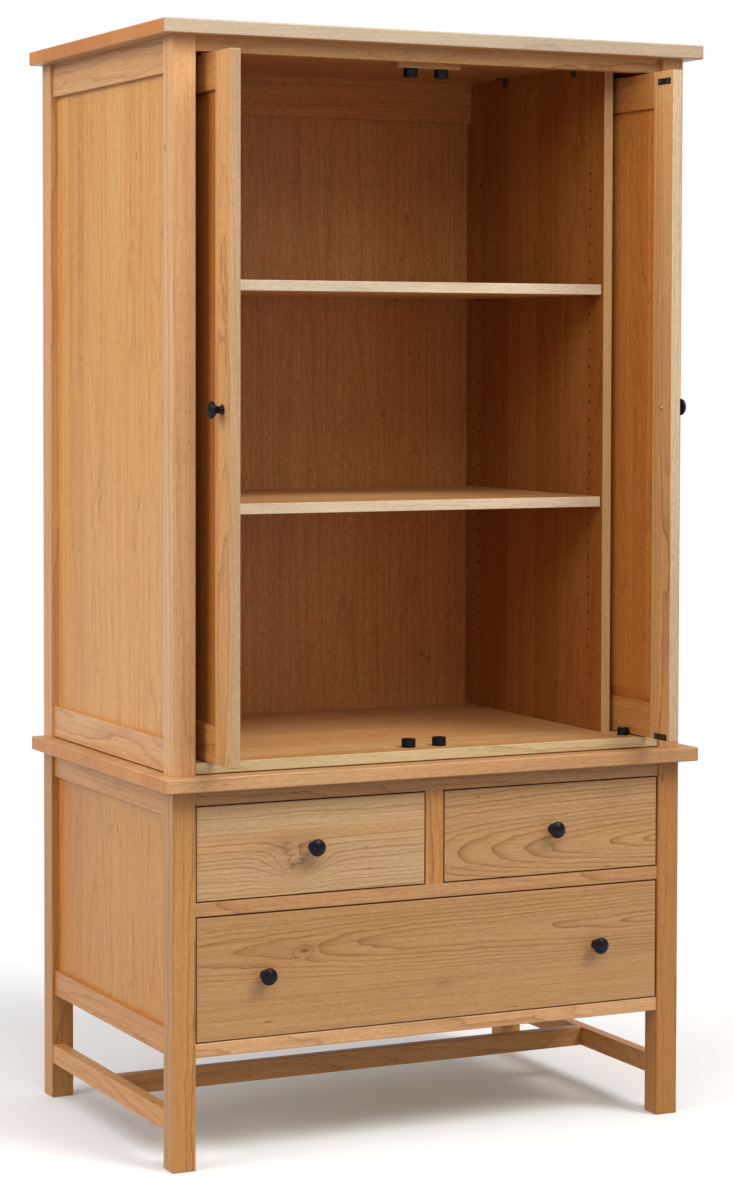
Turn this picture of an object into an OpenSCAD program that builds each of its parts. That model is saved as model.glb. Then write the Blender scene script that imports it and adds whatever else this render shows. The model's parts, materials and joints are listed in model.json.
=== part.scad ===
// Cherry armoire in two cases: an upper cabinet with two retracting pocket doors and
// adjustable shelves, standing on a low chest with two small drawers over a wide one.
// Millimetres, +Z up, front faces -Y. The origin is on the floor, under the middle of the
// overall box with both doors pushed back into their pockets.

/* [Overall] */
// Height from the floor to the top of the top board
total_h = 1930; // [1880:1:1990]
// Width across the outer faces of the posts
case_w = 990; // [940:1:1060]
// Depth from the front face to the back face of the posts
case_d = 625; // [600:1:680]
// Side of a square post or leg
post_w = 42; // [40:0.5:44]
// Top face of the waist board, where the upper case stands
waist_z = 670; // [660:1:690]

/* [Top board and waist board] */
// Thickness of the top board and of the waist board
slab_t = 25; // [20:0.5:30]
// Overhang of the top board past the post at each side
top_side_over = 26; // [10:1:40]
// Overhang of the top board past the posts at the front
top_front_over = 28; // [10:1:40]
// Overhang of the waist board at each side
waist_side_over = 24; // [10:1:40]
// Overhang of the waist board at the front
waist_front_over = 30; // [10:1:40]

/* [Frames and panels] */
// Thickness of boards such as the doors, the shelves and the case floor
board_t = 19; // [18:0.5:20]
// How far the side rails lie behind the outer faces of the posts
side_rail_in = 6; // [3:0.5:8]
// Thickness of the side rails
side_rail_t = 21; // [18:0.5:22]
// How far the side panels lie behind the outer faces of the posts
side_panel_in = 15; // [12:0.5:16]
// Thickness of the side panels
side_panel_t = 7; // [5:0.5:8]
// Depth of the grooves that hold the panels
groove_d = 6; // [4:0.5:8]
// Front face of the back frames, from the front of the posts
back_frame_y = 600; // [590:1:600]
// Thickness of the back frames
back_frame_t = 24; // [22:0.5:25]
// Thickness of the back panels
back_panel_t = 6; // [5:0.5:8]

/* [Upper case] */
// Height of the front rail under the top board
front_rail_h = 24.5; // [20:0.5:30]
// How far the front rail lies behind the front of the posts
front_rail_in = 12; // [4:0.5:14]
// Height of the upper side rails under the top board
upper_side_top_h = 59; // [50:1:70]
// Height of the upper side rails at the bottom
upper_side_bottom_h = 56; // [50:1:60]
// Height of the back rail under the top board
upper_back_rail_h = 76; // [60:1:90]
// Inner face of each partition, from the middle of the case
partition_x = 385; // [380:1:388]
// Front edge of the partitions, from the front of the posts
partition_y = 90; // [80:1:110]

/* [Shelves] */
// Height of the hole row's lowest hole above the floor
first_hole_z = 843; // [800:1:860]
// Holes in each row
hole_count = 28; // [20:1:28]
// Pitch of the holes
hole_pitch = 32; // [32:0.5:32]
// Radius of a shelf pin hole
hole_r = 2.5; // [2.5:0.5:3]
// Depth of a shelf pin hole
hole_d = 10; // [8:1:12]
// Number of the hole that holds the pins of the lower shelf
lower_shelf_hole = 8; // [2:1:11]
// Number of the hole that holds the pins of the upper shelf
upper_shelf_hole = 20; // [14:1:25]

/* [Doors] */
// Thickness of the doors
door_t = 19; // [18:0.5:19]
// Width of the stiles and rails of the doors
door_frame_w = 63; // [50:1:70]
// How far a retracted door stands out in front of the posts
door_out = 97; // [60:1:110]
// Outer face of a retracted door, from the middle of the case
door_face_x = 433; // [433:0.5:434]
// Travel of a door from its pocket to the fully drawn position
door_travel = 337; // [300:1:337]
// How far the panels of the doors lie behind the doors' outer faces
door_panel_in = 7; // [5:0.5:8]
// Width of the bevel round the raised field of a door panel
bevel_w = 20; // [10:1:30]
// Diameter of a knob
knob_d = 30; // [28:1:34]

/* [Drawers and base] */
// Height of the front rail under the waist board
chest_top_rail_h = 26.5; // [20:0.5:30]
// Top of the rail between the small drawers and the wide drawer
middle_rail_z = 454; // [440:1:470]
// Height of the middle rail and of the bottom rail
drawer_rail_h = 24; // [20:0.5:30]
// Top of the bottom rail
bottom_rail_z = 215; // [200:1:230]
// How far the rails and drawer fronts lie behind the front of the legs
drawer_in = 3; // [1:0.5:6]
// Gap between a drawer front and the rails
drawer_gap = 2.5; // [1.5:0.5:3]
// Bottom of the stretchers above the floor
stretcher_z = 64; // [50:1:90]
// Height of the stretchers
stretcher_h = 35; // [30:1:45]

/* [Hidden] */

$fn = 48;

// Front face of the posts in the part's frame
front_y = -(case_d - door_out) / 2;

// Half widths and faces, from the middle of the case
half_w = case_w / 2;
post_in = half_w - post_w;
side_rail_x = [half_w - side_rail_in - side_rail_t, half_w - side_rail_in];
side_panel_x = [half_w - side_panel_in - side_panel_t, half_w - side_panel_in];
post_back_y = case_d - post_w;

// Thickness of the front rails, and how far cutting shapes run past the faces that they cut
front_rail_t = 20;
past = 1;

// Back frames: front face, back face and the panel in their grooves
back_y = [back_frame_y, back_frame_y + back_frame_t];
back_panel_in = 14.5;
back_panel_y = [back_frame_y + back_panel_in, back_frame_y + back_panel_in + back_panel_t];
back_stile_x = 411;

// Upper case
top_z = total_h - slab_t;
floor_gap = 1.5;
side_rail_gap = 2;
upper_side_z = [waist_z + side_rail_gap, waist_z + side_rail_gap + upper_side_bottom_h];
floor_z = waist_z + floor_gap + board_t;
floor_front_y = 4;
front_rail_z = top_z - front_rail_h;
upper_back_rail_z = top_z - upper_back_rail_h;
notch_gap = 2.5;
shelf_clear = 1;
shelf_front_y = partition_y + 4;
hole_front_y = partition_y + 48;
hole_back_y = back_frame_y - 40;
pin_r = 2.4;
pin_tongue = [12, 9, 2];

// Doors: inner face, outer face, height and depth of the retracted door
door_gap = 2;
door_top_gap = 3.5;
door_side_gap = 3.5;
door_z = [floor_z + door_gap, front_rail_z - door_top_gap];
door_w = post_in - door_side_gap;
door_x = [door_face_x - door_t, door_face_x];
door_y = [-door_out, -door_out + door_w];
panel_lap = 8;
panel_tongue_t = 6;
panel_x = [door_x[1] - door_panel_in - panel_tongue_t, door_x[1] - door_panel_in];
field_in = 1;
panel_gap = 1;
knob_y = -door_out + door_frame_w / 2;
knob_z = (door_z[0] + door_z[1]) / 2;
screw_r = 2;
screw_clear = 0.25;
screw_head = [4.5, 2];
strike = [1.5, 40, 10.5];
strike_y = door_y[0] + 8;
strike_z = [door_z[0] + 1, door_z[1] - 23.5];
hinge_cup_r = 17.3;
hinge_bore_r = 17.5;
hinge_cup_d = 11.5;
hinge_bore_d = 12;
hinge_cup_in = 22.5;
hinge_end = 90;
hinge_z = [door_z[0] + hinge_end, knob_z, door_z[1] - hinge_end];

// Hinge in the door's plane: flange half sizes, arm thickness, arm half sizes and foot half height
hinge_flange = [1.5, 12, 24];
hinge_arm = [3, 6, 7];
hinge_foot_half_h = 18;

// Follower strip behind the door, its carriages and their tracks
follower = [16, 68];
follower_x = [door_face_x + 2, door_face_x + 2 + follower[0]];
follower_y = [door_y[1] + 4, door_y[1] + 4 + follower[1]];
follower_end = [3, 6];
track = [11, 26];
track_z = [waist_z + 26, top_z - 55];
track_wall = 1.5;
track_lip = 5;
track_end = 4;
carriage_len = 40;
carriage_clear = 0.5;
carriage_y = [follower_y[1] - carriage_len, follower_y[1]];
track_y = [carriage_y[0] - door_travel - track_end, carriage_y[1] + track_end];

// Catches and guide rollers
catch_r = 12.5;
catch_h = 15;
catch_rim = 1;
catch_hole = [4, 4];
catch_x = 30;
catch_y = 46;
cleat_half_w = 61;
cleat_d = 30;
cleat_drop = 8.5;
clip_y = [partition_y + 110, back_frame_y - 140];
clip_w = 16;
clip_leg = 18;
clip_t = 2;
clip_screw = [3.5, 1];
roller_r = 10.3;
roller_h = 14;
roller_rim = 1.5;
roller_clear = 0.5;
roller_at = [door_x[0] - roller_r - 1.2, 41];
roller_pin_r = 3;
roller_pin_clear = 0.08;
roller_head = [5, 2.5];
roller_recess = [5.5, 3.5];

// Chest
chest_top = waist_z - slab_t;
chest_top_rail_z = chest_top - chest_top_rail_h;
middle_z = [middle_rail_z - drawer_rail_h, middle_rail_z];
bottom_z = [bottom_rail_z - drawer_rail_h, bottom_rail_z];
chest_rail_y = [drawer_in, drawer_in + front_rail_t];
divider_half = 17.25;
side_top_h = 46.5;
side_bottom_z = [bottom_z[0], bottom_z[0] + 46];
stretcher_t = 22;
stretcher_in = 2;
stretcher_x = [half_w - stretcher_in - stretcher_t, half_w - stretcher_in];
runner_x = 380;
runner_clear = 0.6;
centre_runner_half_w = 45;
guide_h = 26;
guide_clear = 0.5;

// Drawers: front from the middle to the outside, box sides, back and bottom
drawer_side_gap = 3;
drawer_out_x = post_in - drawer_side_gap;
drawer_in_x = divider_half + drawer_gap;
drawer_side_t = 12;
drawer_back_y = 560;
drawer_bottom_t = 6;
drawer_bottom_in = 5;
drawer_bottom_up = 8;
drawer_box_down = 14;
box_clear = 1.5;
small_z = [middle_rail_z + drawer_gap, chest_top_rail_z - drawer_gap];
wide_z = [bottom_rail_z + drawer_gap, middle_z[0] - drawer_gap];
wide_knob_x = 325;

cherry = [0.80, 0.56, 0.34];
cherry_light = [0.87, 0.68, 0.47];
cherry_dark = [0.66, 0.40, 0.22];
maple = [0.88, 0.77, 0.58];
black = [0.08, 0.08, 0.10];
steel = [0.72, 0.73, 0.75];

// --- Helpers ---------------------------------------------------------------------------

// Moves what is measured from the front of the posts into the part's frame
module in_part() translate([0, front_y, 0]) children();

// A box between two corners
module box(low, high) translate(low) cube(high - low);

// The children and their mirror image on the other side of the case
module both_sides() {
    children();
    mirror([1, 0, 0]) children();
}

// The children on the right side as drawn, or mirrored to the left side
module on_side(left) mirror([left ? 1 : 0, 0, 0]) children();

// A square post between two heights, at the right front corner or at the right back corner
module corner_post(y, low, high) box([post_in, y, low], [half_w, y + post_w, high]);

// One right side rail with the groove for its panel on its upper or lower edge
module side_rail(low, high, groove_on_top) {
    groove_low = groove_on_top ? high - groove_d : low;
    groove_high = groove_on_top ? high : low + groove_d;
    difference() {
        box([side_rail_x[0], post_w, low], [side_rail_x[1], post_back_y, high]);
        box([side_panel_x[0], post_w - past, groove_low],
            [side_panel_x[1], post_back_y + past, groove_high]);
    }
}

// One right side panel that reaches into the grooves of its rails
module side_panel(low, high)
    box([side_panel_x[0], post_w, low - groove_d], [side_panel_x[1], post_back_y, high + groove_d]);

// A rail of a back frame with the panel's groove on its upper or lower edge
module back_rail(low, high, groove_on_top) {
    groove_low = groove_on_top ? high - groove_d : low;
    groove_high = groove_on_top ? high : low + groove_d;
    difference() {
        box([-back_stile_x, back_y[0], low], [back_stile_x, back_y[1], high]);
        box([-back_stile_x - past, back_panel_y[0], groove_low],
            [back_stile_x + past, back_panel_y[1], groove_high]);
    }
}

// The right stile of a back frame with the panel's groove on its inner edge
module back_stile(low, high)
    difference() {
        box([back_stile_x, back_y[0], low], [post_in, back_y[1], high]);
        box([back_stile_x, back_panel_y[0], low - past],
            [back_stile_x + groove_d, back_panel_y[1], high + past]);
    }

// A back panel between the stiles' grooves
module back_panel(low, high)
    box([-back_stile_x - groove_d, back_panel_y[0], low], [back_stile_x + groove_d, back_panel_y[1], high]);

// Knob that stands on a face along +Z: foot, neck and domed head
module knob() {
    r = knob_d / 2;
    rotate_extrude($fn = 64)
        polygon(concat(
            [[0, 0], [9, 0], [9, 2], [6.4, 5], [5.8, 9], [7.5, 13]],
            [for (a = [-50 : 20 : 50]) [r - 5 + 5 * cos(a), 20 + 5 * sin(a)]],
            [for (a = [70 : -14 : 0]) [(r - 3) * sin(a), 23.5 + 4.5 * cos(a)]]
        ));
}

// Screw that holds a knob, from its head on the far face of the board to the knob
module knob_screw() {
    translate([0, 0, -board_t - screw_head[1]]) cylinder(r = screw_head[0], h = screw_head[1]);
    translate([0, 0, -board_t]) cylinder(r = screw_r, h = board_t);
}

// Hole through the board for a knob's screw
module knob_screw_hole()
    translate([0, 0, -board_t - past]) cylinder(r = screw_r + screw_clear, h = board_t + 2 * past);

// --- Chest frame -----------------------------------------------------------------------

module legs() color(cherry) in_part() both_sides() {
    corner_post(0, 0, chest_top);
    corner_post(post_back_y, 0, chest_top);
}

module waist_board() color(cherry) in_part()
    box([-half_w - waist_side_over, -waist_front_over, chest_top],
        [half_w + waist_side_over, case_d, waist_z]);

// A front rail of the chest between two heights
module chest_rail(low, high) color(cherry) in_part()
    box([-post_in, chest_rail_y[0], low], [post_in, chest_rail_y[1], high]);

module chest_top_rail() chest_rail(chest_top_rail_z, chest_top);

module chest_middle_rail() chest_rail(middle_z[0], middle_z[1]);

module chest_bottom_rail() chest_rail(bottom_z[0], bottom_z[1]);

module drawer_divider() color(cherry_light) in_part()
    box([-divider_half, chest_rail_y[0], middle_z[1]], [divider_half, chest_rail_y[1], chest_top_rail_z]);

module chest_side_rails() color(cherry) in_part() both_sides() {
    side_rail(chest_top - side_top_h, chest_top, false);
    side_rail(side_bottom_z[0], side_bottom_z[1], true);
}

module chest_side_panels() color(cherry_light) in_part() both_sides()
    side_panel(side_bottom_z[1], chest_top - side_top_h);

module chest_back_frame() color(cherry) in_part() {
    back_rail(chest_top - side_top_h, chest_top, false);
    back_rail(side_bottom_z[0], side_bottom_z[1], true);
    difference() {
        back_rail(middle_z[0], middle_z[1], false);
        box([-back_stile_x - past, back_panel_y[0], middle_z[1] - groove_d],
            [back_stile_x + past, back_panel_y[1], middle_z[1] + past]);
    }
    both_sides() back_stile(side_bottom_z[0], chest_top);
}

module chest_back_panels() color(cherry_dark) in_part() {
    back_panel(side_bottom_z[1] - groove_d, middle_z[0] + groove_d);
    back_panel(middle_z[1] - groove_d, chest_top - side_top_h + groove_d);
}

module side_stretchers() color(cherry) in_part() both_sides()
    box([stretcher_x[0], post_w, stretcher_z], [stretcher_x[1], post_back_y, stretcher_z + stretcher_h]);

module centre_stretcher() color(cherry) in_part()
    box([-stretcher_x[0], (case_d - stretcher_t) / 2, stretcher_z],
        [stretcher_x[0], (case_d + stretcher_t) / 2, stretcher_z + stretcher_h]);

// Runners and kickers behind the three front rails
module drawer_runners() color(maple) in_part() {
    levels = [[chest_top_rail_z, chest_top], middle_z, bottom_z];
    for (level = levels)
        both_sides()
            box([runner_x, chest_rail_y[1], level[0]], [post_in, back_frame_y, level[1]]);
    for (level = [levels[0], levels[1]])
        box([-centre_runner_half_w, chest_rail_y[1], level[0]],
            [centre_runner_half_w, back_frame_y, level[1]]);
}

// Strips that keep the drawers straight
module drawer_guides() color(maple) in_part() {
    for (low = [middle_rail_z, bottom_rail_z])
        both_sides()
            box([drawer_out_x - guide_clear, post_w, low], [side_rail_x[0], post_back_y, low + guide_h]);
    box([-drawer_in_x, chest_rail_y[1], middle_rail_z],
        [drawer_in_x, back_frame_y, middle_rail_z + guide_h]);
}

// --- Upper case ------------------------------------------------------------------------

module posts() color(cherry) in_part() both_sides() {
    corner_post(0, waist_z, top_z);
    corner_post(post_back_y, waist_z, top_z);
}

module top_board() color(cherry_light) in_part()
    box([-half_w - top_side_over, -top_front_over, top_z], [half_w + top_side_over, case_d, total_h]);

module upper_front_rail() color(cherry) in_part()
    box([-post_in, front_rail_in, front_rail_z], [post_in, front_rail_in + front_rail_t, top_z]);

module upper_side_rails() color(cherry) in_part() both_sides() {
    side_rail(top_z - upper_side_top_h, top_z, false);
    side_rail(upper_side_z[0], upper_side_z[1], true);
}

module upper_side_panels() color(cherry_light) in_part() both_sides()
    side_panel(upper_side_z[1], top_z - upper_side_top_h);

// Floor of the upper case, between the posts in front and between the side rails behind them
module case_floor() color(cherry_light) in_part() {
    box([-post_in, floor_front_y, floor_z - board_t], [post_in, post_w, floor_z]);
    box([-side_rail_x[0], post_w, floor_z - board_t], [side_rail_x[0], post_back_y, floor_z]);
    box([-back_stile_x, post_back_y, floor_z - board_t], [back_stile_x, back_panel_y[0], floor_z]);
}

// The right partition: two rows of shelf pin holes, and a notch for the back rail
module partition() difference() {
    box([partition_x, partition_y, floor_z], [partition_x + board_t, back_panel_y[0], top_z]);
    box([partition_x - past, back_frame_y, upper_back_rail_z - notch_gap],
        [partition_x + board_t + past, back_panel_y[0] + past, top_z + past]);
    for (y = [hole_front_y, hole_back_y], k = [0 : hole_count - 1])
        translate([partition_x - past, y, first_hole_z + k * hole_pitch])
            rotate([0, 90, 0]) cylinder(r = hole_r, h = hole_d + past, $fn = 24);
}

module left_partition() color(cherry_dark) in_part() on_side(true) partition();

module right_partition() color(cherry_dark) in_part() on_side(false) partition();

module upper_back_frame() color(cherry_dark) in_part() {
    back_rail(upper_back_rail_z, top_z, false);
    both_sides() back_stile(upper_side_z[0], top_z);
}

module upper_back_panel() color(cherry_dark) in_part()
    back_panel(upper_side_z[0], upper_back_rail_z + groove_d);

// Underside of a shelf whose pins are in the hole with the given number
function shelf_bottom(hole) = first_hole_z + hole * hole_pitch + pin_r;

module shelf(hole) color(cherry_light) in_part()
    box([-partition_x + shelf_clear, shelf_front_y, shelf_bottom(hole)],
        [partition_x - shelf_clear, back_frame_y, shelf_bottom(hole) + board_t]);

module upper_shelf() shelf(upper_shelf_hole);

module lower_shelf() shelf(lower_shelf_hole);

// Spoon pin in a hole of the right partition, with its tongue under the shelf
module shelf_pin() {
    translate([-shelf_clear, 0, 0])
        rotate([0, 90, 0]) cylinder(r = pin_r, h = hole_d - shelf_clear, $fn = 24);
    box([-pin_tongue[0], -pin_tongue[1] / 2, pin_r - pin_tongue[2]],
        [-shelf_clear, pin_tongue[1] / 2, pin_r]);
}

module shelf_pins() color(black) in_part()
    for (hole = [lower_shelf_hole, upper_shelf_hole], y = [hole_front_y, hole_back_y])
        both_sides()
            translate([partition_x, y, first_hole_z + hole * hole_pitch]) shelf_pin();

module catch_cleat() color(cherry) in_part()
    box([-cleat_half_w, front_rail_in + front_rail_t, front_rail_z - cleat_drop],
        [cleat_half_w, front_rail_in + front_rail_t + cleat_d, top_z]);

// Round magnetic catch that stands on z = 0, with a countersunk middle
module magnetic_catch()
    difference() {
        union() {
            cylinder(r = catch_r, h = catch_h - catch_rim);
            translate([0, 0, catch_h - catch_rim]) cylinder(r = catch_r - catch_rim, h = catch_rim);
        }
        translate([0, 0, catch_h - catch_hole[1]]) cylinder(r = catch_hole[0], h = catch_hole[1] + past);
    }

module door_catches() color(black) in_part() both_sides() {
    translate([catch_x, catch_y, front_rail_z - cleat_drop]) rotate([180, 0, 0]) magnetic_catch();
    translate([catch_x, catch_y, floor_z]) magnetic_catch();
}

// Angle clips that hold the partitions under the top board
module partition_clips() color(black) in_part() both_sides()
    for (y = clip_y) {
        box([partition_x - clip_t, y - clip_w / 2, top_z - clip_leg], [partition_x, y + clip_w / 2, top_z]);
        box([partition_x - clip_leg, y - clip_w / 2, top_z - clip_t],
            [partition_x - clip_t, y + clip_w / 2, top_z]);
        translate([partition_x - clip_t - clip_screw[1], y, top_z - clip_leg * 0.6])
            rotate([0, 90, 0]) cylinder(r = clip_screw[0], h = clip_screw[1]);
    }

// --- Pocket door hardware --------------------------------------------------------------

// Shoulder screw of a guide roller: shank through the roller and head over it
module roller_pins() color(steel) in_part() both_sides()
    translate([roller_at[0], roller_at[1], floor_z]) {
        cylinder(r = roller_pin_r, h = roller_h - roller_head[1]);
        translate([0, 0, roller_h - roller_head[1]]) cylinder(r = roller_head[0], h = roller_head[1]);
    }

// Guide roller with a bore for its screw and a recess for the screw's head
module guide_roller()
    translate([roller_at[0], roller_at[1], floor_z + roller_clear])
        difference() {
            h = roller_h - roller_clear;
            union() {
                cylinder(r = roller_r, h = h - roller_rim);
                translate([0, 0, h - roller_rim]) cylinder(r = roller_r - roller_rim, h = roller_rim);
            }
            translate([0, 0, -past]) cylinder(r = roller_pin_r + roller_pin_clear, h = h + 2 * past);
            translate([0, 0, h - roller_recess[1] + roller_clear])
                cylinder(r = roller_recess[0], h = roller_recess[1] + past);
        }

module left_guide_roller() color(black) in_part() on_side(true) guide_roller();

module right_guide_roller() color(black) in_part() on_side(false) guide_roller();

// One right track: a channel on the side rail that opens towards the door
module door_track(z) {
    face_x = side_rail_x[0] - track[0];
    difference() {
        box([face_x, track_y[0], z], [side_rail_x[0], track_y[1], z + track[1]]);
        box([face_x + track_wall, track_y[0] - past, z + track_wall],
            [side_rail_x[0] - track_wall, track_y[1] + past, z + track[1] - track_wall]);
        box([face_x - past, track_y[0] - past, z + track_lip],
            [face_x + track_wall + past, track_y[1] + past, z + track[1] - track_lip]);
    }
}

module door_tracks() color(steel) in_part() both_sides()
    for (z = track_z) door_track(z);

// Follower strip with a carriage at each track, for the right door
module door_carriage() {
    neck_z = track_lip + 1;
    head_x = side_rail_x[0] - track[0] + track_wall + carriage_clear;
    head_z = track_wall + carriage_clear;
    box([follower_x[0], follower_y[0], door_z[0] + follower_end[0]],
        [follower_x[1], follower_y[1], door_z[1] - follower_end[1]]);
    for (z = track_z) {
        box([follower_x[1], carriage_y[0], z + neck_z], [head_x, carriage_y[1], z + track[1] - neck_z]);
        box([head_x, carriage_y[0], z + head_z],
            [side_rail_x[0] - track_wall - carriage_clear, carriage_y[1], z + track[1] - head_z]);
    }
}

// Hinge of the right door: cup in the stile, arm round the door's edge, foot on the strip
module door_hinge(z) translate([0, 0, z]) {
    cup_y = door_y[1] - hinge_cup_in;
    arm_x = door_x[0] - hinge_arm[0];
    edge_y = door_y[1] + 12;
    foot_y = [door_y[1] + 10, door_y[1] + 48];
    translate([door_x[0], cup_y, 0]) rotate([0, 90, 0]) cylinder(r = hinge_cup_r, h = hinge_cup_d);
    box([door_x[0] - hinge_flange[0], cup_y - hinge_flange[1], -hinge_flange[2]],
        [door_x[0], cup_y + hinge_flange[1], hinge_flange[2]]);
    box([arm_x, cup_y - hinge_arm[1], -hinge_arm[2]], [door_x[0], edge_y, hinge_arm[2]]);
    box([arm_x, edge_y - hinge_arm[1], -hinge_arm[2]], [follower_x[0], foot_y[1] + 4, hinge_arm[2]]);
    box([follower_x[0] - hinge_arm[0], foot_y[0], -hinge_foot_half_h],
        [follower_x[0], foot_y[1], hinge_foot_half_h]);
}

// --- Doors, drawn as the right door --------------------------------------------------------

module door_stiles() {
    for (front = [true, false]) {
        y = front ? [door_y[0], door_y[0] + door_frame_w] : [door_y[1] - door_frame_w, door_y[1]];
        groove_y = front ? [y[1] - panel_lap, y[1] + past] : [y[0] - past, y[0] + panel_lap];
        difference() {
            box([door_x[0], y[0], door_z[0]], [door_x[1], y[1], door_z[1]]);
            box([panel_x[0], groove_y[0], door_z[0] + door_frame_w - panel_lap],
                [panel_x[1], groove_y[1], door_z[1] - door_frame_w + panel_lap]);
            if (front)
                at_door_knob() knob_screw_hole();
            else
                for (z = hinge_z)
                    translate([door_x[0] - past, door_y[1] - hinge_cup_in, z])
                        rotate([0, 90, 0]) cylinder(r = hinge_bore_r, h = hinge_bore_d + past);
        }
    }
}

module door_rails() {
    for (top = [true, false]) {
        z = top ? [door_z[1] - door_frame_w, door_z[1]] : [door_z[0], door_z[0] + door_frame_w];
        groove_z = top ? [z[0] - past, z[0] + panel_lap] : [z[1] - panel_lap, z[1] + past];
        difference() {
            box([door_x[0], door_y[0] + door_frame_w, z[0]], [door_x[1], door_y[1] - door_frame_w, z[1]]);
            box([panel_x[0], door_y[0], groove_z[0]], [panel_x[1], door_y[1], groove_z[1]]);
        }
    }
}

// Panel with a flat outer face and a bevelled field on the inner face
module door_panel() {
    y = [door_y[0] + door_frame_w, door_y[1] - door_frame_w];
    z = [door_z[0] + door_frame_w, door_z[1] - door_frame_w];
    field_x = door_x[0] + field_in;
    reach = panel_lap - panel_gap;
    skin = 0.2;
    box([panel_x[0], y[0] - reach, z[0] - reach], [panel_x[1], y[1] + reach, z[1] + reach]);
    hull() {
        box([panel_x[0] - skin, y[0] + panel_gap, z[0] + panel_gap],
            [panel_x[0], y[1] - panel_gap, z[1] - panel_gap]);
        box([field_x, y[0] + bevel_w, z[0] + bevel_w], [field_x + skin, y[1] - bevel_w, z[1] - bevel_w]);
    }
}

// Puts what stands along +Z in the place of the door's knob
module at_door_knob() translate([door_x[1], knob_y, knob_z]) rotate([0, 90, 0]) children();

module door_knob() at_door_knob() {
    knob();
    knob_screw();
}

// Steel plates on the inner face that the magnetic catches hold
module door_strikes()
    for (z = strike_z)
        box([door_x[0] - strike[0], strike_y, z], [door_x[0], strike_y + strike[1], z + strike[2]]);

module left_door_stiles() color(cherry) in_part() on_side(true) door_stiles();

module left_door_rails() color(cherry) in_part() on_side(true) door_rails();

module left_door_panel() color(cherry_light) in_part() on_side(true) door_panel();

module left_door_knob() color(black) in_part() on_side(true) door_knob();

module left_door_strikes() color(black) in_part() on_side(true) door_strikes();

module left_door_hinges() color(steel) in_part() on_side(true) for (z = hinge_z) door_hinge(z);

module left_door_carriage() color(maple) in_part() on_side(true) door_carriage();

module right_door_stiles() color(cherry) in_part() on_side(false) door_stiles();

module right_door_rails() color(cherry) in_part() on_side(false) door_rails();

module right_door_panel() color(cherry_light) in_part() on_side(false) door_panel();

module right_door_knob() color(black) in_part() on_side(false) door_knob();

module right_door_strikes() color(black) in_part() on_side(false) door_strikes();

module right_door_hinges() color(steel) in_part() on_side(false) for (z = hinge_z) door_hinge(z);

module right_door_carriage() color(maple) in_part() on_side(false) door_carriage();

// --- Drawers ---------------------------------------------------------------------------

// Puts what stands along +Z in the middle of a drawer front's height, at the given distances
// from the middle of the case
module at_drawer_knobs(places, z)
    for (x = places) translate([x, drawer_in, (z[0] + z[1]) / 2]) rotate([90, 0, 0]) children();

// Drawer front between two sides and two heights, with a groove for the bottom panel
module drawer_front(x, z, places) difference() {
    box([x[0], drawer_in, z[0]], [x[1], drawer_in + board_t, z[1]]);
    at_drawer_knobs(places, z) knob_screw_hole();
    box([x[0] + box_clear + drawer_side_t - drawer_bottom_in, drawer_in + board_t - drawer_bottom_in,
         z[0] + drawer_bottom_up],
        [x[1] - box_clear - drawer_side_t + drawer_bottom_in, drawer_in + board_t + past,
         z[0] + drawer_bottom_up + drawer_bottom_t]);
}

// Box behind a drawer front: two grooved sides, and a back over the bottom panel
module drawer_box(x, z) {
    front = drawer_in + board_t;
    low = z[0] - drawer_gap + runner_clear;
    high = z[1] - drawer_box_down;
    bottom_low = z[0] + drawer_bottom_up;
    for (side = [0, 1]) {
        outer = side == 0 ? x[0] + box_clear : x[1] - box_clear;
        inner = side == 0 ? outer + drawer_side_t : outer - drawer_side_t;
        into_side = side == 0 ? inner - drawer_bottom_in : inner + drawer_bottom_in;
        out_of_side = side == 0 ? inner + past : inner - past;
        difference() {
            box([min(outer, inner), front, low], [max(outer, inner), drawer_back_y, high]);
            box([min(into_side, out_of_side), front - past, bottom_low],
                [max(into_side, out_of_side), drawer_back_y + past, bottom_low + drawer_bottom_t]);
        }
    }
    box([x[0] + box_clear + drawer_side_t, drawer_back_y - drawer_side_t, bottom_low + drawer_bottom_t],
        [x[1] - box_clear - drawer_side_t, drawer_back_y, high]);
}

// Bottom panel of a drawer, in the grooves of the front and the sides
module drawer_bottom(x, z)
    box([x[0] + box_clear + drawer_side_t - drawer_bottom_in, drawer_in + board_t - drawer_bottom_in,
         z[0] + drawer_bottom_up],
        [x[1] - box_clear - drawer_side_t + drawer_bottom_in, drawer_back_y,
         z[0] + drawer_bottom_up + drawer_bottom_t]);

module drawer_knobs(places, z) at_drawer_knobs(places, z) {
    knob();
    knob_screw();
}

small_x = [drawer_in_x, drawer_out_x];
small_knob = [(drawer_in_x + drawer_out_x) / 2];
wide_x = [-drawer_out_x, drawer_out_x];
wide_knobs = [-wide_knob_x, wide_knob_x];

module left_drawer_front() color(cherry_light) in_part()
    on_side(true) drawer_front(small_x, small_z, small_knob);

module left_drawer_box() color(maple) in_part() on_side(true) drawer_box(small_x, small_z);

module left_drawer_bottom() color(maple) in_part() on_side(true) drawer_bottom(small_x, small_z);

module left_drawer_knob() color(black) in_part() on_side(true) drawer_knobs(small_knob, small_z);

module right_drawer_front() color(cherry_light) in_part()
    on_side(false) drawer_front(small_x, small_z, small_knob);

module right_drawer_box() color(maple) in_part() on_side(false) drawer_box(small_x, small_z);

module right_drawer_bottom() color(maple) in_part() on_side(false) drawer_bottom(small_x, small_z);

module right_drawer_knob() color(black) in_part() on_side(false) drawer_knobs(small_knob, small_z);

module wide_drawer_front() color(cherry_light) in_part() drawer_front(wide_x, wide_z, wide_knobs);

module wide_drawer_box() color(maple) in_part() drawer_box(wide_x, wide_z);

module wide_drawer_bottom() color(maple) in_part() drawer_bottom(wide_x, wide_z);

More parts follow.
